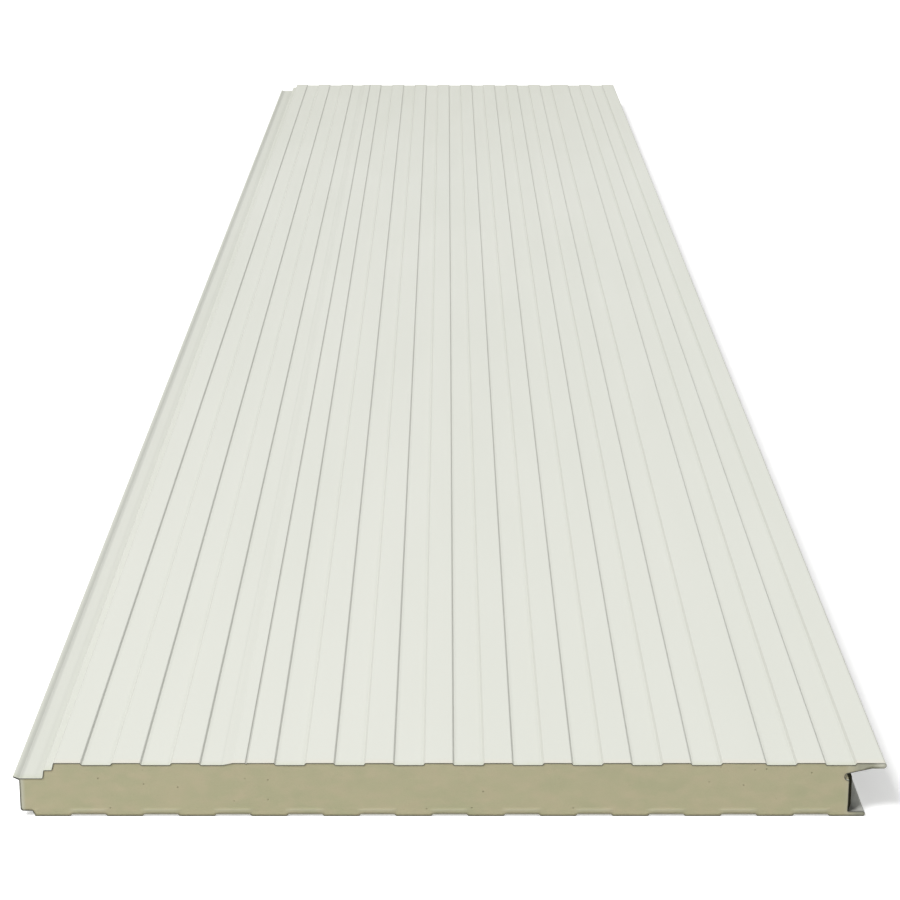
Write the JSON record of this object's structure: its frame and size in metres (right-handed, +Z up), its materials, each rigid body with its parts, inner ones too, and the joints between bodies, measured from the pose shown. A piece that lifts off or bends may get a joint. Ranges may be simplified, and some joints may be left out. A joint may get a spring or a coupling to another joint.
{
  "type": "insulated sandwich panel",
  "caption": "Flat insulated wall panel with ribbed steel facings bonded to a rigid foam core, and a hidden tongue and groove joint along its two long edges.",
  "frame": {"origin": "on the floor under the middle of the overall box", "axes": "+X across the width towards the nose and groove edge, +Y along the length away from the end that the picture shows, +Z up through the thickness, with the outer facing on top"},
  "size_m": [1.2046, 6, 0.08],
  "materials": {
    "outer_facing": "satin off-white coil coating",
    "inner_facing": "satin grey-white coil coating",
    "foam_core": "cut khaki rigid foam with fine closed cells",
    "edge_film": "dull grey foil-faced kraft lining",
    "joint_seal": "matt black foamed rubber"
  },
  "bodies": {
    "root": {"outer_facing": "outer_facing", "inner_facing": "inner_facing", "foam_core": "foam_core", "tongue_edge_film": "edge_film", "groove_edge_film": "edge_film", "joint_seal": "joint_seal"}
  },
  "joints": []
}
